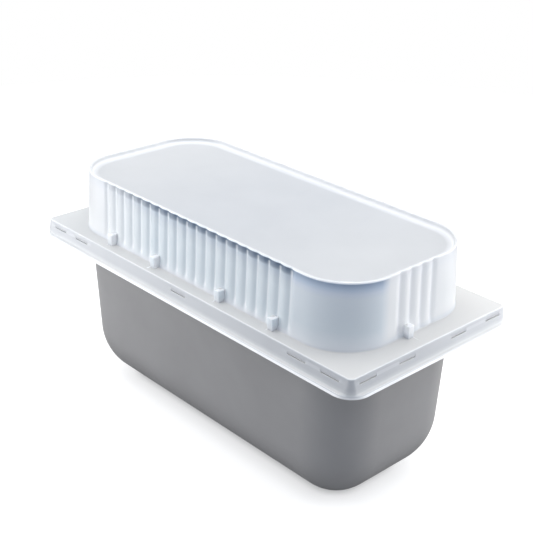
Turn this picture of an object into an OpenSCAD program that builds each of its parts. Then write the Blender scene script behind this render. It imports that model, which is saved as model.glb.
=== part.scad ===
// Covered loaf mould: an open, drafted tub with a flat rim, and a thin domed cover
// whose flange and skirt sit over that rim. The cover's wall is fluted with upright
// convex reeds, and its top is a flat panel set down inside a thin raised edge.
// Origin: middle of the tub's base, on the surface that it stands on.
// +X runs along the length, +Y across the width, +Z up. Millimetres.

/* [Tub] */
// Length over the tub's rim
rim_length = 360; // [350:1:364]
// Width over the tub's rim
rim_width = 163; // [155:1:166]
// Height of the top face of the rim above the floor
rim_height = 144; // [110:1:180]
// Length of the tub outside, just under the rim
tub_length = 328; // [310:1:332]
// Width of the tub outside, just under the rim
tub_width = 143; // [125:1:147]
// Radius of the tub's upright corners at the top
tub_corner = 43; // [20:1:48]
// How far each wall leans in from the rim to the floor
tub_draft = 6; // [2:0.5:9]
// Radius between the tub's walls and its base
tub_foot = 49; // [15:1:50]
// Thickness of the tub's walls
tub_wall = 2; // [1.6:0.1:3]

/* [Cover] */
// Length of the flange's top face
flange_length = 364; // [364:1:372]
// Width of the flange's top face
flange_width = 167; // [167:1:174]
// Height of the skirt, from the flange's top face to its open edge
skirt_height = 15; // [12:0.5:20]
// How far the skirt spreads on each side by its open edge
skirt_flare = 5; // [3:0.5:6]
// Length of the dome where it leaves the flange
dome_length = 330; // [300:1:336]
// Width of the dome where it leaves the flange
dome_width = 145; // [120:1:148]
// Height of the dome above the flange's top face
dome_height = 52; // [30:1:80]
// Radius of the dome's upright corners
dome_corner = 41; // [30:1:44]
// How far each dome wall leans in from the flange to the top edge
dome_draft = 2; // [0.5:0.5:5]
// Thickness of the cover
cover_wall = 1.8; // [1.5:0.1:2.2]
// Depth of the top panel below the raised edge
panel_depth = 4.5; // [2:0.5:8]

/* [Flutes] */
// Reeds along each long side
flutes_long = 19; // [5:2:19]
// Reeds along each short side
flutes_short = 3; // [1:2:3]
// Spacing of the reeds
flute_pitch = 11.5; // [8:0.25:11.5]
// Depth of the creases between the reeds
flute_depth = 1.4; // [0.4:0.1:1.4]

/* [Lugs and slots] */
// Width of a stacking lug along the wall
lug_width = 5.5; // [4:0.5:9]
// How far a stacking lug stands out from the dome
lug_reach = 4.5; // [3:0.5:7]
// Height of a stacking lug above the flange
lug_height = 9.5; // [6:0.5:14]
// Length of a slot in a long side of the skirt
slot_length = 17; // [8:1:20]
// Height of a slot in the skirt
slot_height = 1; // [0.8:0.1:2.5]

/* [Hidden] */

// Gap between the rim and the cover that sits over it
seat_gap = 0.2;
flange_top = rim_height + seat_gap + cover_wall;
skirt_bottom = flange_top - skirt_height;
dome_top = flange_top + dome_height;
panel_top = dome_top - panel_depth;

// Rim of the tub: a flat flange with a short turned-down edge
rim_corner = 5;
rim_drop = 9;
rim_thick = 2;

// Cover details
flange_corner = 4;
flange_bevel = 0.8;
skirt_corner = 17;
knee_height = 11.3;
knee_share = 0.38;
edge_round = 0.5;
root_round = 1.5;
cut_past = 1;

// Slots lie a third of the way down the skirt, each below a shallow flat
slot_top = flange_top - 5;
flat_stand = 0.4;
slots_long = [-163, -131, 0, 131, 163];
slots_short = [-68, -28, 28, 68];
slot_length_end = slot_length - 1;

// Stacking lugs: the pattern of one side is the other's turned half round,
// so that two covers nest when they point the same way and stack when turned
lugs_long = [-99.5, -41.5, 37.5, 96];
lugs_short = [-9.5];
lug_root = 1.6;

// Steps of the faceted outlines
corner_steps = 8;
flute_steps = 4;
foot_steps = 8;

// One rounded corner of an outline, turned counter-clockwise from angle start
function corner(x, y, r, start) = [
    for (i = [0:corner_steps])
        let (a = start + 90 * i / corner_steps)
        [x + r * cos(a), y + r * sin(a)]
];

// Places along one fluted side, each with its depth below the crests.
// The run reaches half a reed past the last crease, where the wall is plain again.
function flute_run(count, depth) = [
    for (i = [-flute_steps / 2:(count + 0.5) * flute_steps])
        let (turns = (i + flute_steps) / flute_steps)
        let (phase = turns - floor(turns))
        [(i / flute_steps - count / 2) * flute_pitch, depth * pow(2 * phase - 1, 2)]
];

// Outline of the cover at one level: four corners and four fluted sides
function fluted_ring(l, w, r, z, depth) =
    let (x = l / 2 - r)
    let (y = w / 2 - r)
    let (long = flute_run(flutes_long, depth))
    let (short = flute_run(flutes_short, depth))
    [for (p = concat(
        corner(x, y, r, 0),
        [for (s = long) [-s[0], w / 2 - s[1]]],
        corner(-x, y, r, 90),
        [for (s = short) [-l / 2 + s[1], -s[0]]],
        corner(-x, -y, r, 180),
        [for (s = long) [s[0], -w / 2 + s[1]]],
        corner(x, -y, r, 270),
        [for (s = short) [l / 2 - s[1], s[0]]]
    )) [p[0], p[1], z]];

// Outline of the tub at one level: a rounded rectangle
function plain_ring(l, w, r, z) =
    let (x = l / 2 - r)
    let (y = w / 2 - r)
    [for (p = concat(
        corner(x, y, r, 0),
        corner(-x, y, r, 90),
        corner(-x, -y, r, 180),
        corner(x, -y, r, 270)
    )) [p[0], p[1], z]];

// Closed skin through a list of rings that all have the same number of points
module loft(rings) {
    n = len(rings[0]);
    last = len(rings) - 1;
    points = [for (ring = rings) each ring];
    sides = [
        for (k = [0:last - 1], i = [0:n - 1])
            let (a = k * n + i)
            let (b = k * n + (i + 1) % n)
            each [[a, a + n, b + n], [a, b + n, b]]
    ];
    first_cap = [for (i = [0:n - 1]) i];
    last_cap = [for (i = [n - 1:-1:0]) last * n + i];
    polyhedron(points, concat([first_cap], sides, [last_cap]), convexity = 10);
}

// One level of the tub's wall, moved in by inset all round
function tub_level(z, inset) =
    let (lean = tub_draft * (1 - z / rim_height))
    let (r = tub_corner - lean / 2 - inset)
    plain_ring(tub_length - 2 * (lean + inset), tub_width - 2 * (lean + inset), max(r, 2), z);

// Rounded foot between base and wall, for the skin that lies inset inside the outside
function tub_foot_rings(inset) = [
    for (i = [0:foot_steps])
        let (a = 90 * i / foot_steps)
        let (r = tub_foot - inset)
        tub_level(tub_foot - r * cos(a), tub_foot - r * sin(a))
];

// Rim at one level, moved in by inset all round
function rim_level(z, inset) =
    plain_ring(rim_length - 2 * inset, rim_width - 2 * inset, rim_corner - inset, z);

// Open tub, hung from a flat rim with a turned-down edge
module mould_tub() {
    outside = tub_foot_rings(0);
    inside = tub_foot_rings(tub_wall);
    under = rim_height - rim_thick;
    color([0.60, 0.60, 0.60])
        loft(concat(
            outside,
            [
                tub_level(under - root_round, 0),
                tub_level(under, -root_round),
                rim_level(under, rim_thick),
                rim_level(rim_height - rim_drop, rim_thick),
                rim_level(rim_height - rim_drop, 0),
                rim_level(rim_height - edge_round, 0),
                rim_level(rim_height, edge_round),
                tub_level(rim_height, tub_wall - edge_round),
                tub_level(rim_height - edge_round, tub_wall)
            ],
            [for (i = [foot_steps:-1:0]) inside[i]]
        ));
}

// One level of the dome's wall, moved in by inset all round
function dome_level(z, inset, depth) =
    let (lean = dome_draft * (z - flange_top) / dome_height)
    let (all = lean + inset)
    fluted_ring(dome_length - 2 * all, dome_width - 2 * all, dome_corner - inset, z, depth);

// One level of the flange and skirt: share is 0 at the flange and 1 at the open edge
function skirt_level(z, share, inset) =
    let (grow = 2 * (skirt_flare * share - inset))
    let (r = flange_corner + (skirt_corner - flange_corner) * pow(share, 1.5) - inset)
    plain_ring(flange_length + grow, flange_width + grow, r, z);

// Flange and skirt as one solid block
module skirt_block() {
    loft([
        skirt_level(skirt_bottom, 1, 0),
        skirt_level(flange_top - knee_height, knee_share, 0),
        skirt_level(flange_top - flange_bevel, 0, 0),
        skirt_level(flange_top, 0, flange_bevel)
    ]);
}

// Space inside the skirt and under the flange, where the tub's rim sits
module skirt_space() {
    loft([
        skirt_level(skirt_bottom - cut_past, 1, cover_wall),
        skirt_level(skirt_bottom, 1, cover_wall),
        skirt_level(flange_top - knee_height, knee_share, cover_wall),
        skirt_level(flange_top - cover_wall, 0, cover_wall)
    ]);
}

// Dome with its fluted wall, as one solid block
module dome_block() {
    loft([
        dome_level(flange_top - cover_wall / 2, -root_round, 0),
        dome_level(flange_top, -root_round, 0),
        dome_level(flange_top + 2 * root_round, 0, flute_depth),
        dome_level(dome_top - edge_round, 0, flute_depth),
        dome_level(dome_top, edge_round, flute_depth)
    ]);
}

// Space inside the dome, up to the panel's underside
module dome_space() {
    loft([
        dome_level(flange_top - cover_wall - cut_past, cover_wall - root_round, 0),
        dome_level(flange_top - cover_wall, cover_wall - root_round, 0),
        dome_level(flange_top + root_round, cover_wall, flute_depth),
        dome_level(panel_top - cover_wall - root_round, cover_wall, flute_depth),
        dome_level(panel_top - cover_wall, cover_wall + root_round, flute_depth / 2)
    ]);
}

// Space above the sunk panel, inside the raised edge
module panel_space() {
    loft([
        dome_level(panel_top, cover_wall + root_round, flute_depth / 2),
        dome_level(panel_top + root_round, cover_wall, flute_depth),
        dome_level(dome_top + cut_past, cover_wall, flute_depth)
    ]);
}

// Stacking lug on the wall that faces -Y, its root buried in the dome's wall
module lug(wall) {
    translate([-lug_width / 2, -wall - lug_reach, flange_top - cover_wall / 2])
        cube([lug_width, lug_reach + lug_root, lug_height + cover_wall / 2]);
}

// Slot through the skirt that faces -Y, with the flat above it, which stands out
// from the flange's edge by flat_stand
module slot(edge, length) {
    reach = 4 * skirt_flare;
    translate([-length / 2, -edge - reach, slot_top - slot_height])
        cube([length, 2 * reach, slot_height]);
    translate([-length / 2, -edge - flat_stand - reach, slot_top - slot_height])
        cube([length, reach, flange_top - flange_bevel - slot_top + slot_height]);
}

// Places one side's shapes on both long sides and both short sides
module on_sides(places_long, places_short) {
    for (turn = [0, 180])
        rotate([0, 0, turn]) {
            for (x = places_long)
                translate([x, 0, 0])
                    children(0);
            for (y = places_short)
                rotate([0, 0, 90])
                    translate([y, 0, 0])
                        children(1);
        }
}

// Thin cover with its flange, skirt, dome and sunk panel, as one moulded skin.
// The resize holds the length over the open edge to its stated value.
module domed_cover() {
    color([0.88, 0.91, 0.95])
        resize([flange_length + 2 * skirt_flare, 0, 0])
            difference() {
                union() {
                    skirt_block();
                    dome_block();
                    on_sides(lugs_long, lugs_short) {
                        lug(dome_width / 2);
                        lug(dome_length / 2);
                    }
                }
                skirt_space();
                dome_space();
                panel_space();
                on_sides(slots_long, slots_short) {
                    slot(flange_width / 2, slot_length);
                    slot(flange_length / 2, slot_length_end);
                }
            }
}

mould_tub();
domed_cover();
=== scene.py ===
import math

import bmesh
import bpy
from mathutils import Matrix, Vector


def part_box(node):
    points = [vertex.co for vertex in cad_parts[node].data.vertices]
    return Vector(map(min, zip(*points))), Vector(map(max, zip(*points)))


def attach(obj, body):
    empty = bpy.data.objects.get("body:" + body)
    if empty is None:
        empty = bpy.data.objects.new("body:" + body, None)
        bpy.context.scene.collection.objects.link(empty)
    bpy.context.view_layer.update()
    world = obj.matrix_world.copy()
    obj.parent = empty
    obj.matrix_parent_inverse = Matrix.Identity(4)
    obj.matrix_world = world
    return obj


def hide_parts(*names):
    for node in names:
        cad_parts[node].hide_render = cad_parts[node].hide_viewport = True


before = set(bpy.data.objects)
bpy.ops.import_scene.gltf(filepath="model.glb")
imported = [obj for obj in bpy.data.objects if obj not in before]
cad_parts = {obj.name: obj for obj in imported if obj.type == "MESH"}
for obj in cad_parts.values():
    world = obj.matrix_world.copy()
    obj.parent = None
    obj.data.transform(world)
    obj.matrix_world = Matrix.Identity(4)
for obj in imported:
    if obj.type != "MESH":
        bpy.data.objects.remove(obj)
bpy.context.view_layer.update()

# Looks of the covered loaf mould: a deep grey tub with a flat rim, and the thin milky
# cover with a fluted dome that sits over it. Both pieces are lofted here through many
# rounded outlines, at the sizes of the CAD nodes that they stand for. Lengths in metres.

MM = 0.001

# ---------------------------------------------------------------- sizes from the frame

_, tub_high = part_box("mould_tub")
cover_low, cover_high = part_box("domed_cover")

COVER_WALL = 1.8 * MM
SEAT_GAP = 0.2 * MM
DOME_HEIGHT = 52 * MM
PANEL_DEPTH = 4.5 * MM
SKIRT_FLARE = 5 * MM

RIM_TOP = tub_high[2]
FLANGE_TOP = RIM_TOP + SEAT_GAP + COVER_WALL
SKIRT_BOTTOM = cover_low[2]
DOME_TOP = cover_high[2]
PANEL_TOP = DOME_TOP - PANEL_DEPTH
FLANGE_HALF = (cover_high[0] - SKIRT_FLARE, cover_high[1] - SKIRT_FLARE)
RIM_HALF = (tub_high[0], tub_high[1])

# Cover: corners, walls and flutes. The overlaps are how far the rings of two outlines run
# on towards each other over a level face; the steps are the longest between two rings
DOME_HALF = (165 * MM, 72.5 * MM)
DOME_CORNER = 41 * MM
DOME_DRAFT = 2 * MM
FLANGE_CORNER = 4 * MM
SKIRT_CORNER = 17 * MM
KNEE_DEPTH = 11.3 * MM
KNEE_SHARE = 0.38
LEDGE_DEPTH = 1.6 * MM
LEDGE_SHARE = 0.80
LIP_HEIGHT = 1.4 * MM
FLUTE_PITCH = 11.5 * MM
FLUTE_DEPTH = 1.4 * MM
CREASE_SOFTNESS = 0.25
EDGE_BAND = 2.4 * MM
EDGE_CALM = 0.6
EDGE_LEAN = 1.6 * MM
FLUTES_LONG = 19
FLUTES_SHORT = 3
FLUTE_STEPS = 12
FLUTE_RISE = DOME_HEIGHT / 14
PANEL_FADE = 4 * MM
PANEL_FLUTE_SHARE = 0.4
CORNER_STEPS = 24
LEAST_CORNER = 0.4 * MM
FLANGE_OVERLAP = 4 * MM
SKIRT_OVERLAP = 3.5 * MM
PANEL_MIDDLE = DOME_HALF[1] - 4 * MM
INSIDE_STEP = 6 * MM
SKIRT_STEP = 0.5 * MM
OUTSIDE_STEP = 3 * MM

# Slots and lugs: places along the long and the short sides in mm, and sizes
SLOTS_LONG = (-163, -131, 0, 131, 163)
SLOTS_SHORT = (-68, -28, 28, 68)
SLOT_LENGTH = 17 * MM
SLOT_SHORT_LENGTH = 16 * MM
SLOT_HEIGHT = 0.5 * MM
SLOT_DROP = 5 * MM
CUT_OUTSIDE = 9 * MM
CUT_INSIDE = 3 * MM
FLAT_MARGIN = 0.6 * MM
FLAT_PROUD = 0.45 * MM
FLAT_ABOVE = 2 * MM
LUGS_LONG = (-99.5, -41.5, 37.5, 96)
LUGS_SHORT = (-9.5,)
LUG_WIDTH = 5.5 * MM
LUG_REACH = 4.6 * MM
LUG_HEIGHT = 9.5 * MM
LUG_ROOT = 1.5 * MM
LUG_SINK = 1.2 * MM
LUG_BEVEL = 0.5 * MM

# Tub
TUB_HALF = (164 * MM, 71.5 * MM)
TUB_CORNER = 43 * MM
TUB_DRAFT = 6 * MM
TUB_FOOT = 49 * MM
TUB_WALL = 2 * MM
RIM_CORNER = 5 * MM
RIM_DROP = 9 * MM
RIM_THICK = 2 * MM
RIM_OVERLAP = 6 * MM
WALL_OVERLAP = 5 * MM
BASE_MIDDLE = TUB_HALF[1] - TUB_DRAFT - 2 * MM
TUB_STEP = 12 * MM
RIM_STEP = 3 * MM

# Mesh cleaning: points nearer than this are one, and bends from this angle stay sharp
MERGE_DISTANCE = 0.002 * MM
LEAST_EDGE = 0.001 * MM
SHARP_BEND = math.radians(38)


# ---------------------------------------------------------------- shared shape helpers

def smooth(t):
    """0 below 0, 1 above 1, and an even S curve between."""
    t = min(max(t, 0.0), 1.0)
    return t * t * (3 - 2 * t)


def rounded(points, setbacks, steps=4):
    """A polyline of (inset, z) with each inner point rounded off over its own setback."""
    points = [Vector(p) for p in points]
    out = [points[0]]
    for before, at, after, r in zip(points, points[1:], points[2:], setbacks):
        a = at + (before - at).normalized() * r
        b = at + (after - at).normalized() * r
        for k in range(steps + 1):
            t = k / steps
            out.append(a * (1 - t) ** 2 + at * 2 * t * (1 - t) + b * t * t)
    out.append(points[-1])
    return out


def divided(points, longest):
    """The same polyline with no step longer than longest."""
    out = [points[0]]
    for a, b in zip(points, points[1:]):
        parts = max(1, math.ceil((b - a).length / longest))
        out += [a.lerp(b, k / parts) for k in range(1, parts + 1)]
    return out


def corner(cx, cy, r, quarter, steps=CORNER_STEPS):
    """Points of one rounded corner, turned counter-clockwise from quarter * 90 degrees."""
    angles = [math.radians(90 * (quarter + k / steps)) for k in range(steps + 1)]
    return [(cx + r * math.cos(a), cy + r * math.sin(a)) for a in angles]


def flute_run(count, depth):
    """Places along a fluted side with their depths: convex reeds with soft creases."""
    run = []
    first = -FLUTE_STEPS // 2
    last = int((count + 0.5) * FLUTE_STEPS)
    for k in range(first, last + 1):
        phase = (k / FLUTE_STEPS) % 1.0
        p = abs(2 * phase - 1)
        dip = p * p * (1 - CREASE_SOFTNESS * p ** 6) / (1 - CREASE_SOFTNESS)
        run.append(((k / FLUTE_STEPS - count / 2) * FLUTE_PITCH, depth * dip))
    return run


def fluted_outline(half, r, z, depth):
    """Outline of the cover at one level: four corners joined by four fluted sides."""
    hx, hy = half
    r = max(r, LEAST_CORNER)
    x, y = hx - r, hy - r
    reach_x = (FLUTES_LONG + 1) * FLUTE_PITCH / 2
    reach_y = (FLUTES_SHORT + 1) * FLUTE_PITCH / 2
    squeeze_x, squeeze_y = min(1.0, x / reach_x), min(1.0, y / reach_y)
    long = [(s * squeeze_x, d) for s, d in flute_run(FLUTES_LONG, depth)]
    short = [(s * squeeze_y, d) for s, d in flute_run(FLUTES_SHORT, depth)]
    flat = corner(x, y, r, 0) + [(-s, hy - d) for s, d in long]
    flat += corner(-x, y, r, 1) + [(d - hx, -s) for s, d in short]
    flat += corner(-x, -y, r, 2) + [(s, d - hy) for s, d in long]
    flat += corner(x, -y, r, 3) + [(hx - d, s) for s, d in short]
    return [(px, py, z) for px, py in flat]


def plain_outline(half, r, z, spread=6):
    """Rounded rectangle at one level, with each side in spread parts."""
    hx, hy = half
    r = max(r, LEAST_CORNER)
    x, y = hx - r, hy - r
    corners = [corner(sx * x, sy * y, r, q) for q, (sx, sy) in
               enumerate(((1, 1), (-1, 1), (-1, -1), (1, -1)))]
    flat = []
    for q in range(4):
        flat += corners[q]
        a, b = Vector(corners[q][-1]), Vector(corners[(q + 1) % 4][0])
        flat += [tuple(a.lerp(b, k / spread)) for k in range(1, spread)]
    return [(px, py, z) for px, py in flat]


def loft(name, rings):
    """Closed mesh object through rings that all have the same number of points."""
    n = len(rings[0])
    verts = [p for ring in rings for p in ring]
    faces = [tuple(reversed(range(n)))]
    for k in range(len(rings) - 1):
        a, b = k * n, (k + 1) * n
        for i in range(n):
            j = (i + 1) % n
            faces.append((a + i, a + j, b + j, b + i))
    top = (len(rings) - 1) * n
    faces.append(tuple(range(top, top + n)))
    mesh = bpy.data.meshes.new(name)
    mesh.from_pydata(verts, [], faces)
    piece = bpy.data.objects.new(name, mesh)
    bpy.context.scene.collection.objects.link(piece)
    clean(mesh)
    return piece


def clean(mesh):
    """Merges doubled points, turns the faces outwards and shades soft bends smooth."""
    bm = bmesh.new()
    bm.from_mesh(mesh)
    bmesh.ops.remove_doubles(bm, verts=bm.verts, dist=MERGE_DISTANCE)
    bmesh.ops.dissolve_degenerate(bm, dist=LEAST_EDGE, edges=bm.edges)
    bmesh.ops.recalc_face_normals(bm, faces=bm.faces)
    for face in bm.faces:
        face.smooth = True
    for edge in bm.edges:
        edge.smooth = len(edge.link_faces) == 2 and edge.calc_face_angle(0) < SHARP_BEND
    bm.to_mesh(mesh)
    bm.free()


def soft_block(bm, low, high, bevel, turn):
    """Adds a block with bevelled edges between two corners, then turned about +Z."""
    made = bmesh.ops.create_cube(bm, size=1.0)["verts"]
    low, high = Vector(low), Vector(high)
    for v in made:
        v.co = Vector(low[i] + (v.co[i] + 0.5) * (high[i] - low[i]) for i in range(3))
    if bevel:
        edges = list({e for v in made for e in v.link_edges})
        bevelled = bmesh.ops.bevel(bm, geom=edges, offset=bevel, segments=3, profile=0.5,
                                   affect="EDGES")
        made = list({v for f in bevelled["faces"] for v in f.verts}
                    | {v for v in made if v.is_valid})
    whole = {v for v in made if v.is_valid}
    for v in list(whole):
        whole |= {e.other_vert(v) for e in v.link_edges}
    bmesh.ops.rotate(bm, verts=list(whole), cent=(0, 0, 0), matrix=Matrix.Rotation(turn, 3, "Z"))


def blocks(name, boxes, bevel=0.0):
    """One hidden object that holds several blocks, each (low, high, turn)."""
    bm = bmesh.new()
    for low, high, turn in boxes:
        soft_block(bm, low, high, bevel, turn)
    mesh = bpy.data.meshes.new(name)
    bm.to_mesh(mesh)
    bm.free()
    piece = bpy.data.objects.new(name, mesh)
    bpy.context.scene.collection.objects.link(piece)
    return piece


def combine(piece, other, operation):
    """Joins other to piece or cuts it away, for good, and deletes other."""
    modifier = piece.modifiers.new("combine", "BOOLEAN")
    modifier.object = other
    modifier.operation = operation
    modifier.solver = "MANIFOLD"
    graph = bpy.context.evaluated_depsgraph_get()
    mesh = bpy.data.meshes.new_from_object(piece.evaluated_get(graph))
    piece.modifiers.clear()
    old = piece.data
    piece.data = mesh
    bpy.data.meshes.remove(old)
    bpy.data.objects.remove(other)


# ---------------------------------------------------------------- the cover

def skirt_share(z):
    """How much of the skirt's flare is reached at a height: wall, ledge, then lip."""
    drop = max(FLANGE_TOP - z, 0.0)
    wall = KNEE_SHARE * min(drop / KNEE_DEPTH, 1.0)
    ledge = (LEDGE_SHARE - KNEE_SHARE) * smooth((drop - KNEE_DEPTH) / LEDGE_DEPTH)
    lip = (1 - LEDGE_SHARE) * smooth((SKIRT_BOTTOM + LIP_HEIGHT - z) / LIP_HEIGHT)
    return wall + ledge + lip


def skirt_ring(inset, z):
    """Outline of the flange and skirt at one level, inset from the outside."""
    share = skirt_share(z)
    grow = SKIRT_FLARE * share - inset
    r = FLANGE_CORNER + (SKIRT_CORNER - FLANGE_CORNER) * share ** 1.5 - inset
    return fluted_outline((FLANGE_HALF[0] + grow, FLANGE_HALF[1] + grow), r, z, 0.0)


def dome_ring(inset, z):
    """Outline of the dome at one level, its flutes fading out at the foot and the panel."""
    rise = z - FLANGE_TOP
    inwards = DOME_DRAFT * rise / DOME_HEIGHT + inset
    depth = FLUTE_DEPTH * smooth(rise / FLUTE_RISE)
    depth *= 1 - smooth((inset - COVER_WALL) / PANEL_FADE)
    depth *= 1 - EDGE_CALM * smooth((z - DOME_TOP + EDGE_BAND) / (EDGE_BAND / 2))
    if inset > COVER_WALL / 2 and z > PANEL_TOP - COVER_WALL / 2:
        depth *= PANEL_FLUTE_SHARE
    half = (DOME_HALF[0] - inwards, DOME_HALF[1] - inwards)
    return fluted_outline(half, DOME_CORNER - inset, z, depth)


def build_cover():
    """The cover's skin: under the panel, down the inside, round the edge and back up."""
    t = COVER_WALL
    inside = rounded(
        [(PANEL_MIDDLE, PANEL_TOP - t), (t, PANEL_TOP - t), (t, FLANGE_TOP - t),
         (-FLANGE_OVERLAP, FLANGE_TOP - t)],
        [3.0 * MM, 1.5 * MM])
    skirt = rounded(
        [(SKIRT_OVERLAP, FLANGE_TOP - t), (t, FLANGE_TOP - t), (t, SKIRT_BOTTOM),
         (0, SKIRT_BOTTOM), (0, FLANGE_TOP), (SKIRT_OVERLAP, FLANGE_TOP)],
        [0.4 * MM, 0.6 * MM, 0.4 * MM, 0.8 * MM])
    outside = rounded(
        [(-FLANGE_OVERLAP, FLANGE_TOP), (0, FLANGE_TOP), (0, DOME_TOP), (t, DOME_TOP),
         (t + EDGE_LEAN, PANEL_TOP), (PANEL_MIDDLE, PANEL_TOP)],
        [1.5 * MM, 0.75 * MM, 0.75 * MM, 3.2 * MM])
    rings = [dome_ring(*p) for p in divided(inside, INSIDE_STEP)]
    rings += [skirt_ring(*p) for p in divided(skirt, SKIRT_STEP)]
    rings += [dome_ring(*p) for p in divided(outside, OUTSIDE_STEP)]
    cover = loft("cover_shell", rings)
    combine(cover, lugs(), "UNION")
    combine(cover, slots(), "DIFFERENCE")
    clean(cover.data)
    return cover


def slot_sides():
    """Each side of the skirt: its turn about +Z, slot places, slot length, flange half."""
    for half_turn in (0, math.pi):
        yield half_turn, SLOTS_LONG, SLOT_LENGTH, FLANGE_HALF[1]
        yield half_turn + math.pi / 2, SLOTS_SHORT, SLOT_SHORT_LENGTH, FLANGE_HALF[0]


def lug_sides():
    """Each side of the dome: its turn about +Z, lug places, dome half."""
    for half_turn in (0, math.pi):
        yield half_turn, LUGS_LONG, DOME_HALF[1]
        yield half_turn + math.pi / 2, LUGS_SHORT, DOME_HALF[0]


def lugs():
    """Stacking lugs round the foot of the dome, their roots buried in its wall."""
    boxes = []
    for turn, places, wall in lug_sides():
        for place in places:
            x = place * MM
            low = (x - LUG_WIDTH / 2, -wall - LUG_REACH, FLANGE_TOP - LUG_SINK)
            high = (x + LUG_WIDTH / 2, -wall + LUG_ROOT, FLANGE_TOP + LUG_HEIGHT)
            boxes.append((low, high, turn))
    return blocks("lug_blocks", boxes, bevel=LUG_BEVEL)


def slots():
    """Cutters for the slots through the skirt and for the shallow flats above them."""
    cuts, flats = [], []
    top = FLANGE_TOP - SLOT_DROP
    for turn, places, length, edge in slot_sides():
        outside = -edge - CUT_OUTSIDE
        for place in places:
            x = place * MM
            cuts.append(((x - length / 2, outside, top - SLOT_HEIGHT),
                         (x + length / 2, -edge + CUT_INSIDE, top), turn))
            reach = length / 2 + FLAT_MARGIN
            flats.append(((x - reach, outside, top - SLOT_HEIGHT / 2),
                          (x + reach, -edge - FLAT_PROUD, FLANGE_TOP + FLAT_ABOVE), turn))
    through = blocks("slot_blocks", cuts)
    combine(through, blocks("flat_blocks", flats), "UNION")
    return through


# ---------------------------------------------------------------- the tub

def tub_ring(inset, z):
    """Outline of the tub's drafted wall at one level, inset from the outside."""
    lean = TUB_DRAFT * (1 - z / RIM_TOP)
    inwards = lean + inset
    half = (TUB_HALF[0] - inwards, TUB_HALF[1] - inwards)
    return plain_outline(half, TUB_CORNER - lean / 2 - inset, z)


def rim_ring(inset, z):
    """Outline of the rim at one level, inset from its edge."""
    return plain_outline((RIM_HALF[0] - inset, RIM_HALF[1] - inset), RIM_CORNER - inset / 2, z)


def foot(inset, steps=20):
    """Rounded foot from base to wall, for a skin that lies inset inside the outside."""
    r = TUB_FOOT - inset
    turns = [math.radians(90 * k / steps) for k in range(steps + 1)]
    return [Vector((TUB_FOOT - r * math.sin(a), TUB_FOOT - r * math.cos(a))) for a in turns]


def build_tub():
    """The tub's skin: base, foot, wall, rim with its turned-down edge, and the inside."""
    t = TUB_WALL
    under = RIM_TOP - RIM_THICK
    drop = RIM_TOP - RIM_DROP
    wall = rounded([(0, TUB_FOOT), (0, under), (-WALL_OVERLAP, under)], [2.5 * MM])
    rim = rounded(
        [(RIM_OVERLAP, under), (RIM_THICK, under), (RIM_THICK, drop), (0, drop),
         (0, RIM_TOP), (RIM_OVERLAP, RIM_TOP)],
        [1.2 * MM, 0.8 * MM, 0.8 * MM, 1.6 * MM])
    mouth = rounded([(-WALL_OVERLAP, RIM_TOP), (t, RIM_TOP), (t, TUB_FOOT)], [1.6 * MM])
    outer_foot, inner_foot = foot(0.0), foot(t)
    rings = [tub_ring(BASE_MIDDLE, 0.0)]
    rings += [tub_ring(*p) for p in outer_foot + divided(wall, TUB_STEP)]
    rings += [rim_ring(*p) for p in divided(rim, RIM_STEP)]
    rings += [tub_ring(*p) for p in divided(mouth, TUB_STEP) + inner_foot[::-1]]
    rings += [tub_ring(BASE_MIDDLE, t)]
    return loft("tub_shell", rings)


# ---------------------------------------------------------------- materials

# Part of the noise's range that is spread over the whole of a ramp
NOISE_SPAN = (0.35, 0.65)
GRAIN_DETAIL = 2


def material(name):
    """A new node material: (material, its node tree, its Principled node)."""
    made = bpy.data.materials.new(name)
    made.use_nodes = True
    tree = made.node_tree
    return made, tree, tree.nodes["Principled BSDF"]


def noise(tree, scale, detail=3.0, stretch=(1, 1, 1)):
    """Noise on the object's own coordinates; returns its Fac socket."""
    coords = tree.nodes.new("ShaderNodeTexCoord")
    mapping = tree.nodes.new("ShaderNodeMapping")
    mapping.inputs["Scale"].default_value = stretch
    texture = tree.nodes.new("ShaderNodeTexNoise")
    texture.inputs["Scale"].default_value = scale
    texture.inputs["Detail"].default_value = detail
    tree.links.new(coords.outputs["Object"], mapping.inputs["Vector"])
    tree.links.new(mapping.outputs["Vector"], texture.inputs["Vector"])
    return texture.outputs["Fac"]


def ramp(tree, fac, low, high, span=NOISE_SPAN):
    """Maps the fac socket from span to the numbers low to high, held at both ends."""
    node = tree.nodes.new("ShaderNodeMapRange")
    node.inputs["From Min"].default_value = span[0]
    node.inputs["From Max"].default_value = span[1]
    node.inputs["To Min"].default_value = low
    node.inputs["To Max"].default_value = high
    tree.links.new(fac, node.inputs["Value"])
    return node.outputs["Result"]


def color_steps(tree, fac, stops):
    """Colour ramp through (position, colour) stops."""
    node = tree.nodes.new("ShaderNodeValToRGB")
    while len(node.color_ramp.elements) < len(stops):
        node.color_ramp.elements.new(0.5)
    for element, (position, color) in zip(node.color_ramp.elements, stops):
        element.position = position
        element.color = (*color, 1)
    tree.links.new(fac, node.inputs["Fac"])
    return node.outputs["Color"]


def number_steps(tree, fac, stops):
    """Ramp through (position, number) stops, as greys."""
    return color_steps(tree, fac, [(position, (v, v, v)) for position, v in stops])


def bump(tree, shader, layers):
    """Chains noise bumps, each (noise scale, strength, depth), into the shader's normal."""
    normal = None
    for scale, strength, depth in layers:
        node = tree.nodes.new("ShaderNodeBump")
        node.inputs["Strength"].default_value = strength
        node.inputs["Distance"].default_value = depth
        tree.links.new(noise(tree, scale, GRAIN_DETAIL), node.inputs["Height"])
        if normal:
            tree.links.new(normal, node.inputs["Normal"])
        normal = node.outputs["Normal"]
    tree.links.new(normal, shader.inputs["Normal"])


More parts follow.
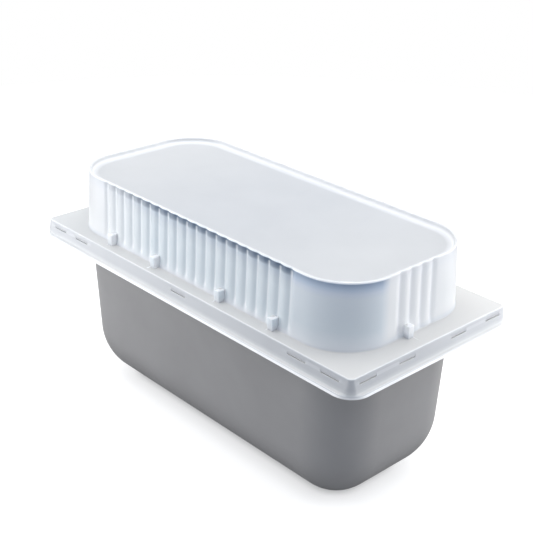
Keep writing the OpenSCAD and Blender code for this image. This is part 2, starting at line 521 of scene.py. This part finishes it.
def blend_colors(tree, fac, first, second):
    """Mixes two colours, each a socket or a tuple, by the fac socket."""
    node = tree.nodes.new("ShaderNodeMix")
    node.data_type = "RGBA"
    tree.links.new(fac, node.inputs[0])
    for socket, value in ((node.inputs[6], first), (node.inputs[7], second)):
        if isinstance(value, tuple):
            socket.default_value = (*value, 1)
        else:
            tree.links.new(value, socket)
    return node.outputs[2]


def part_of(tree, vector, axis):
    """One component of a vector socket."""
    node = tree.nodes.new("ShaderNodeSeparateXYZ")
    tree.links.new(vector, node.inputs[0])
    return node.outputs[axis]


def math_node(tree, operation, *values):
    """Result of a Math node on one or two sockets."""
    node = tree.nodes.new("ShaderNodeMath")
    node.operation = operation
    for socket, value in zip(node.inputs, values):
        tree.links.new(value, socket)
    return node.outputs[0]


def absolute(tree, value):
    """Size of a socket's number, without its sign."""
    return math_node(tree, "ABSOLUTE", value)


def product(tree, first, second):
    """Two sockets' numbers multiplied."""
    return math_node(tree, "MULTIPLY", first, second)


def outwards(tree, place, facing):
    """How far a face looks away from the upright axis through the origin, below 0 inside."""
    level = tree.nodes.new("ShaderNodeVectorMath")
    level.operation = "MULTIPLY"
    level.inputs[1].default_value = (1, 1, 0)
    tree.links.new(place, level.inputs[0])
    node = tree.nodes.new("ShaderNodeVectorMath")
    node.operation = "DOT_PRODUCT"
    tree.links.new(facing, node.inputs[0])
    tree.links.new(level.outputs["Vector"], node.inputs[1])
    return node.outputs["Value"]


def distance_past(tree, half):
    """Distance of a point from a box about the origin with the given half sizes."""
    coords = tree.nodes.new("ShaderNodeTexCoord")
    vector = coords.outputs["Object"]
    for operation, value in (("ABSOLUTE", None), ("SUBTRACT", half), ("MAXIMUM", (0, 0, 0))):
        node = tree.nodes.new("ShaderNodeVectorMath")
        node.operation = operation
        tree.links.new(vector, node.inputs[0])
        if value:
            node.inputs[1].default_value = value
        vector = node.outputs["Vector"]
    length = tree.nodes.new("ShaderNodeVectorMath")
    length.operation = "LENGTH"
    tree.links.new(vector, length.inputs[0])
    return length.outputs["Value"]


def mix_for_camera(tree, others, camera, output):
    """Sends one shader node to the output for camera rays, and another for all others."""
    path = tree.nodes.new("ShaderNodeLightPath")
    mix = tree.nodes.new("ShaderNodeMixShader")
    tree.links.new(path.outputs["Is Camera Ray"], mix.inputs[0])
    tree.links.new(others.outputs[0], mix.inputs[1])
    tree.links.new(camera.outputs[0], mix.inputs[2])
    tree.links.new(mix.outputs[0], output.inputs["Surface"])


# Tub: clouding as (noise scale, detail) and the two greys that it runs between, roughness
# with its noise scale, and grain and slow waviness, each (noise scale, strength, depth)
TUB_CLOUD = (14, 4)
TUB_GREYS = ((0.312, 0.305, 0.303), (0.338, 0.331, 0.329))
TUB_ROUGHNESS = (0.40, 0.50)
TUB_PATCHES = 60
TUB_GRAIN = ((2600, 0.10, 0.05 * MM), (30, 0.15, 0.3 * MM))


def tub_plastic():
    """Opaque mid-grey moulded plastic with a fine satin grain."""
    made, tree, shader = material("grey_tub_plastic")
    grey = color_steps(tree, noise(tree, *TUB_CLOUD), list(zip(NOISE_SPAN, TUB_GREYS)))
    tree.links.new(grey, shader.inputs["Base Color"])
    rough = ramp(tree, noise(tree, TUB_PATCHES), *TUB_ROUGHNESS)
    tree.links.new(rough, shader.inputs["Roughness"])
    bump(tree, shader, TUB_GRAIN)
    return made


# Tints of the cover's upright faces, by height above the skirt's open edge in mm: painted
# highlight on the white lip, painted shade on the skirt, painted bounce light lighter at
# the dome's foot, painted blue shade under the raised edge and a painted highlight on top
UPRIGHT_TINTS = (
    (0.0, (0.99, 0.99, 1.0)),
    (1.4, (0.97, 0.97, 0.98)),
    (1.9, (0.68, 0.69, 0.70)),
    (3.5, (0.67, 0.68, 0.68)),
    (6.5, (0.56, 0.57, 0.585)),
    (14.0, (0.56, 0.57, 0.585)),
    (17.0, (0.72, 0.74, 0.76)),
    (30.0, (0.65, 0.70, 0.73)),
    (54.0, (0.69, 0.735, 0.77)),
    (58.0, (0.65, 0.70, 0.77)),
    (61.0, (0.53, 0.61, 0.71)),
    (65.2, (0.30, 0.38, 0.50)),
    (66.0, (0.97, 0.98, 1.0)),
)
COVER_HEIGHT = (DOME_TOP - SKIRT_BOTTOM) / MM

# Heights in mm between which the tints of the dome's wall set in, just above the flange
DOME_START = (17.0, 20.0)

# Reeds of the long sides: painted blue shade over them, and darker painted shade below the
# raised edge by height in mm
REED_TINT = (0.69, 0.75, 0.775)
REED_TINT_SHARE = 0.6
REED_TINT_SPAN = (0.35, 0.65)
REED_SHADE = (0.10, 0.15, 0.23)
REED_SHADE_SHARES = ((48.0, 0.0), (60.0, 0.18), (61.8, 0.68), (65.5, 1.0), (66.0, 0.0))
REEDS_HALF = FLUTES_LONG * FLUTE_PITCH / 2
REEDS_END = (REEDS_HALF - 2 * MM, REEDS_HALF + 4 * MM)

# Painted light on the dome's wall, lighter and less blue: towards -X, and over its +X end but
# for the corner at -Y. There the flanks of the reeds that look towards -Y get a white painted
# highlight as well
LIT_WALL_TINT = (0.78, 0.78, 0.775)
LIT_WALL_SHARE = 0.85
LIT_WALL_SPAN = (-125 * MM, -45 * MM)
END_SPAN = (118 * MM, 128 * MM)
END_SIDE_SPAN = (-36 * MM, -28 * MM)
END_FLANK_TINT = (1.0, 1.0, 1.0)
END_FLANK_SHARE = 0.6
END_FLANK_SPAN = (-0.4, -0.05)

# Inner faces of walls: white as a painted glow, and greyer up to the raised edge's top, by
# height in mm
INNER_GLOW_TINT = (1.0, 1.0, 1.0)
INNER_SPAN = (-2 * MM, 2 * MM)
INNER_RISE = (62.8, 65.4)
RIM_TINT = (0.66, 0.665, 0.67)

# Level faces: the flange, the panel with a painted highlight round its border and painted
# light towards its ends, and the top of the raised edge.
# The levels are shares of the cover's height over which one passes into the next, and
# LEVEL_FACING is the span of the facing's Z from upright faces to level ones
FLANGE_TINT = (0.65, 0.645, 0.63)
FLANGE_END_TINT = (0.595, 0.605, 0.605)
FLANGE_END_SPAN = (-150 * MM, -80 * MM)
PANEL_TINT = (0.525, 0.54, 0.558)
PANEL_LIT_END_TINT = (0.56, 0.57, 0.578)
PANEL_LIT_END_SPAN = (30 * MM, 130 * MM)
PANEL_HIGHLIGHT_SHARE = 0.6
PANEL_HIGHLIGHT_SPAN = (DOME_CORNER - 11 * MM, DOME_CORNER - 5 * MM)
PANEL_LEVELS = (0.3, 0.7)
RIM_LEVELS = (0.955, 0.98)
LEVEL_FACING = (0.55, 0.9)

# Painted highlights: white along convex edges, by height in mm, and in the creases between
# the reeds. The bends are spans of Pointiness, which is 0.5 on a flat face and more on a convex
# edge
HIGHLIGHT_TINT = (0.97, 0.98, 1.0)
EDGE_HIGHLIGHT_SHARES = ((0.0, 0.8), (3.0, 0.8), (4.5, 0.15), (13.0, 0.15), (14.2, 0.75), (15.1, 0.75),
               (15.6, 0.2), (23.8, 0.2), (24.4, 0.7), (66.0, 0.7))
EDGE_HIGHLIGHT_BEND = (0.515, 0.56)
CREASE_HIGHLIGHT_SHARE = 0.9
CREASE_HIGHLIGHT_BEND = (0.465, 0.49)

# Milky clouding as (noise scale, detail, stretch), roughness and grain as on the tub, and
# how far light spreads in the wall
COVER_CLOUD = (18, 4, (1, 1, 2))
CLOUD_TINT = (1.0, 1.0, 1.0)
CLOUD_SHARE = 0.05
COVER_ROUGHNESS = (0.29, 0.34)
COVER_PATCHES = 45
COVER_GRAIN = ((1800, 0.06, 0.05 * MM), (26, 0.2, 0.4 * MM))
SCATTER_DEPTH = 1.2 * MM


def heights(stops):
    """Stops given in mm above the skirt's open edge, as shares of the cover's height."""
    return [(mm / COVER_HEIGHT, value) for mm, value in stops]


def upright_tint(tree, place, facing, height, bend):
    """Colour of the upright faces: skirt, dome wall, reeds, raised edge, with painted light and
    shade.
    """
    side, across = part_of(tree, place, "X"), part_of(tree, place, "Y")
    dome = ramp(tree, height, 0.0, 1.0, [mm / COVER_HEIGHT for mm in DOME_START])
    # Painted highlight, painted shade and painted bounce light by height, from UPRIGHT_TINTS
    tint = color_steps(tree, height, heights(UPRIGHT_TINTS))

    # Painted blue shade over the long sides' reeds, darkest just below the raised edge
    along = ramp(tree, absolute(tree, side), 1.0, 0.0, REEDS_END)
    bluer = product(tree, ramp(tree, along, 0.0, REED_TINT_SHARE, REED_TINT_SPAN), dome)
    shade = product(tree, along, number_steps(tree, height, heights(REED_SHADE_SHARES)))
    tint = blend_colors(tree, bluer, tint, REED_TINT)
    tint = blend_colors(tree, shade, tint, REED_SHADE)

    # Painted light: lighter towards -X and over the +X end, and a white painted highlight on
    # flanks that face -Y
    clear = product(tree, ramp(tree, side, LIT_WALL_SHARE, 0.0, LIT_WALL_SPAN), dome)
    end = product(tree, ramp(tree, side, 0.0, LIT_WALL_SHARE, END_SPAN),
                  ramp(tree, across, 0.0, 1.0, END_SIDE_SPAN))
    flank = product(tree, dome, ramp(tree, part_of(tree, facing, "Y"), END_FLANK_SHARE, 0.0,
                                     END_FLANK_SPAN))
    tint = blend_colors(tree, clear, tint, LIT_WALL_TINT)
    tint = blend_colors(tree, product(tree, end, dome), tint, LIT_WALL_TINT)
    tint = blend_colors(tree, product(tree, end, flank), tint, END_FLANK_TINT)

    # Painted highlight in the creases between the reeds
    crease_highlight = product(tree, ramp(tree, bend, CREASE_HIGHLIGHT_SHARE, 0.0, CREASE_HIGHLIGHT_BEND), dome)
    tint = blend_colors(tree, crease_highlight, tint, HIGHLIGHT_TINT)
    # Painted glow: inner faces white, greyer towards the raised edge's top
    inner = ramp(tree, outwards(tree, place, facing), 1.0, 0.0, INNER_SPAN)
    inner_glow_tint = color_steps(tree, height, heights(zip(INNER_RISE, (INNER_GLOW_TINT, RIM_TINT))))
    return blend_colors(tree, inner, tint, inner_glow_tint)


def level_tint(tree, place, height):
    """Colour of the level faces: flange, panel with painted light and highlight, raised edge's
    top.
    """
    side = part_of(tree, place, "X")
    core = (DOME_HALF[0] - DOME_CORNER, DOME_HALF[1] - DOME_CORNER, 1.0)
    # Painted highlight round the panel's border, and painted light towards the panel's ends
    border_highlight = ramp(tree, distance_past(tree, core), 0.0, PANEL_HIGHLIGHT_SHARE, PANEL_HIGHLIGHT_SPAN)
    end = ramp(tree, absolute(tree, side), 0.0, 1.0, PANEL_LIT_END_SPAN)
    panel = blend_colors(tree, end, PANEL_TINT, PANEL_LIT_END_TINT)
    panel = blend_colors(tree, border_highlight, panel, HIGHLIGHT_TINT)
    flange = blend_colors(tree, ramp(tree, side, 1.0, 0.0, FLANGE_END_SPAN),
                          FLANGE_TINT, FLANGE_END_TINT)
    level = blend_colors(tree, ramp(tree, height, 0.0, 1.0, PANEL_LEVELS), flange, panel)
    return blend_colors(tree, ramp(tree, height, 0.0, 1.0, RIM_LEVELS), level, RIM_TINT)


def cover_plastic():
    """Thin milky plastic: painted blue shade under its raised edge, painted highlights on its
    edges.
    """
    made, tree, shader = material("milky_cover_plastic")
    coords = tree.nodes.new("ShaderNodeTexCoord")
    place, facing = coords.outputs["Object"], coords.outputs["Normal"]
    bend = tree.nodes.new("ShaderNodeNewGeometry").outputs["Pointiness"]
    height = ramp(tree, part_of(tree, place, "Z"), 0.0, 1.0, (SKIRT_BOTTOM, DOME_TOP))

    flat = ramp(tree, absolute(tree, part_of(tree, facing, "Z")), 0.0, 1.0, LEVEL_FACING)
    color = blend_colors(tree, flat, upright_tint(tree, place, facing, height, bend),
                         level_tint(tree, place, height))
    # Painted highlight along convex edges, by height
    edge = product(tree, ramp(tree, bend, 0.0, 1.0, EDGE_HIGHLIGHT_BEND),
                   number_steps(tree, height, heights(EDGE_HIGHLIGHT_SHARES)))
    color = blend_colors(tree, edge, color, HIGHLIGHT_TINT)
    cloud = ramp(tree, noise(tree, *COVER_CLOUD), 0.0, CLOUD_SHARE)
    color = blend_colors(tree, cloud, color, CLOUD_TINT)

    tree.links.new(color, shader.inputs["Base Color"])
    rough = ramp(tree, noise(tree, COVER_PATCHES), *COVER_ROUGHNESS)
    tree.links.new(rough, shader.inputs["Roughness"])
    shader.inputs["IOR"].default_value = 1.5
    shader.inputs["Subsurface Weight"].default_value = 1.0
    shader.inputs["Subsurface Radius"].default_value = (1.0, 1.0, 1.0)
    shader.inputs["Subsurface Scale"].default_value = SCATTER_DEPTH
    bump(tree, shader, COVER_GRAIN)
    return made


# Floor: its grey as the camera and as bounced light see it, and the glow that bleaches it
# for the camera, by share of the way from the tub's flat base to GLOW_REACH past it. Near
# the base the glow fades to almost nothing: a painted contact shadow
FLOOR_GREY = 0.48
FLOOR_BOUNCE = 0.36
FLOOR_ROUGHNESS = 0.6
FLOOR_SPECULAR = 0.2
BASE_HALF = tuple(half - TUB_DRAFT - TUB_FOOT for half in TUB_HALF)
GLOW_REACH = 100 * MM
BLEACH_AND_SHADOW_LEVELS = ((0.14, 0.02), (0.20, 0.33), (0.28, 0.61), (0.46, 0.74))


def floor_white():
    """Pale floor, bleached where seen directly as in a high-key studio; painted contact shadow
    by the tub.
    """
    made, tree, shader = material("studio_floor")
    shader.inputs["Base Color"].default_value = (FLOOR_GREY, FLOOR_GREY, FLOOR_GREY, 1)
    shader.inputs["Roughness"].default_value = FLOOR_ROUGHNESS
    shader.inputs["Specular IOR Level"].default_value = FLOOR_SPECULAR
    glow = tree.nodes.new("ShaderNodeEmission")
    # The bleaching glow fades to almost nothing near the tub's base: a painted contact shadow
    past_base = ramp(tree, distance_past(tree, (*BASE_HALF, 1.0)), 0.0, 1.0, (0.0, GLOW_REACH))
    tree.links.new(number_steps(tree, past_base, BLEACH_AND_SHADOW_LEVELS), glow.inputs["Strength"])
    bounce = tree.nodes.new("ShaderNodeBsdfDiffuse")
    bounce.inputs["Color"].default_value = (FLOOR_BOUNCE, FLOOR_BOUNCE, FLOOR_BOUNCE, 1)
    seen = tree.nodes.new("ShaderNodeAddShader")
    tree.links.new(shader.outputs[0], seen.inputs[0])
    tree.links.new(glow.outputs[0], seen.inputs[1])
    mix_for_camera(tree, bounce, seen, tree.nodes["Material Output"])
    return made


# ---------------------------------------------------------------- stage and camera

VIEW_AZIMUTH = math.radians(47.0)
VIEW_ELEVATION = math.radians(25.0)
VIEW_ROLL = math.radians(1.1)
VIEW_DISTANCE = 0.881
VIEW_TARGET = Vector((0.0059, 0.0029, 0.1397))
VIEW_LENS = 73.2
SENSOR_WIDTH = 36
CLIP_START = 0.01

TO_CAMERA = Vector((math.sin(VIEW_AZIMUTH) * math.cos(VIEW_ELEVATION),
                    -math.cos(VIEW_AZIMUTH) * math.cos(VIEW_ELEVATION),
                    math.sin(VIEW_ELEVATION)))
RIGHT = Vector((math.cos(VIEW_AZIMUTH), math.sin(VIEW_AZIMUTH), 0))
FRONT = Vector((math.sin(VIEW_AZIMUTH), -math.cos(VIEW_AZIMUTH), 0))
UP = Vector((0, 0, 1))

# Light of the studio round the object, from behind it to the camera's side; the spans
# are cosines of the direction against FRONT
WORLD_STRENGTHS = (0.66, 0.74)
WORLD_STRENGTH_SPAN = (-0.6, 0.55)
WORLD_TINTS = ((0.94, 0.96, 1.0), (0.80, 0.87, 1.0))
WORLD_TINT_SPAN = (0.0, 0.6)

# Softboxes, all turned to LIGHT_AIM: name, offset from it, (width, height), watts
LIGHT_AIM = Vector((0, 0, 0.12))
SOFTBOXES = (
    ("left_softbox", RIGHT * -0.6 + UP * 0.05, (0.4, 0.6), 2.3),
    ("right_softbox", RIGHT * 0.65 + UP * 0.05, (0.4, 0.6), 3.1),
    ("top_softbox", FRONT * -0.2 + UP * 1.1, (1.2, 1.2), 10.5),
)

FLOOR_RADIUS = 1.1
FLOOR_SIDES = 96


def add_camera():
    """Camera at the stated angle, distance and roll, turned to VIEW_TARGET."""
    up = TO_CAMERA.cross(RIGHT)
    right = RIGHT * math.cos(VIEW_ROLL) + up * math.sin(VIEW_ROLL)
    up = up * math.cos(VIEW_ROLL) - RIGHT * math.sin(VIEW_ROLL)
    place = Matrix((right, up, TO_CAMERA)).transposed().to_4x4()
    place.translation = VIEW_TARGET + TO_CAMERA * VIEW_DISTANCE
    data = bpy.data.cameras.new("studio_camera")
    data.lens = VIEW_LENS
    data.sensor_width = SENSOR_WIDTH
    data.clip_start = CLIP_START
    camera = bpy.data.objects.new("studio_camera", data)
    camera.matrix_world = place
    bpy.context.scene.collection.objects.link(camera)
    bpy.context.scene.camera = camera


def add_softbox(name, offset, size, power):
    """Rectangular area light at an offset from LIGHT_AIM, turned towards it."""
    data = bpy.data.lights.new(name, "AREA")
    data.shape = "RECTANGLE"
    data.size, data.size_y = size
    data.energy = power
    lamp = bpy.data.objects.new(name, data)
    lamp.location = LIGHT_AIM + offset
    lamp.rotation_euler = (-offset).to_track_quat("-Z", "Y").to_euler()
    bpy.context.scene.collection.objects.link(lamp)


def add_world():
    """White where the camera sees it; as light, bluer and a little stronger from FRONT."""
    world = bpy.data.worlds.new("studio_world")
    bpy.context.scene.world = world
    world.use_nodes = True
    tree = world.node_tree
    tree.nodes.clear()
    seen = tree.nodes.new("ShaderNodeBackground")
    seen.inputs["Strength"].default_value = 1.0
    seen.inputs["Color"].default_value = (1, 1, 1, 1)
    light = tree.nodes.new("ShaderNodeBackground")
    coords = tree.nodes.new("ShaderNodeTexCoord")
    dot = tree.nodes.new("ShaderNodeVectorMath")
    dot.operation = "DOT_PRODUCT"
    dot.inputs[1].default_value = FRONT
    tree.links.new(coords.outputs["Generated"], dot.inputs[0])
    cosine = dot.outputs["Value"]
    strength = ramp(tree, cosine, *WORLD_STRENGTHS, WORLD_STRENGTH_SPAN)
    tint = color_steps(tree, cosine, list(zip(WORLD_TINT_SPAN, WORLD_TINTS)))
    tree.links.new(tint, light.inputs["Color"])
    tree.links.new(strength, light.inputs["Strength"])
    mix_for_camera(tree, light, seen, tree.nodes.new("ShaderNodeOutputWorld"))


def add_floor():
    """Round floor under the object."""
    bm = bmesh.new()
    bmesh.ops.create_circle(bm, cap_ends=True, segments=FLOOR_SIDES, radius=FLOOR_RADIUS)
    mesh = bpy.data.meshes.new("studio_floor")
    bm.to_mesh(mesh)
    bm.free()
    floor = bpy.data.objects.new("studio_floor", mesh)
    floor.data.materials.append(floor_white())
    bpy.context.scene.collection.objects.link(floor)


# ---------------------------------------------------------------- the scene

add_camera()
add_world()
add_floor()
for softbox in SOFTBOXES:
    add_softbox(*softbox)
bpy.context.scene.view_settings.view_transform = "Standard"

tub = build_tub()
tub.data.materials.append(tub_plastic())
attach(tub, "tub")
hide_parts("mould_tub")

cover = build_cover()
cover.data.materials.clear()
cover.data.materials.append(cover_plastic())
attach(cover, "cover")
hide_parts("domed_cover")
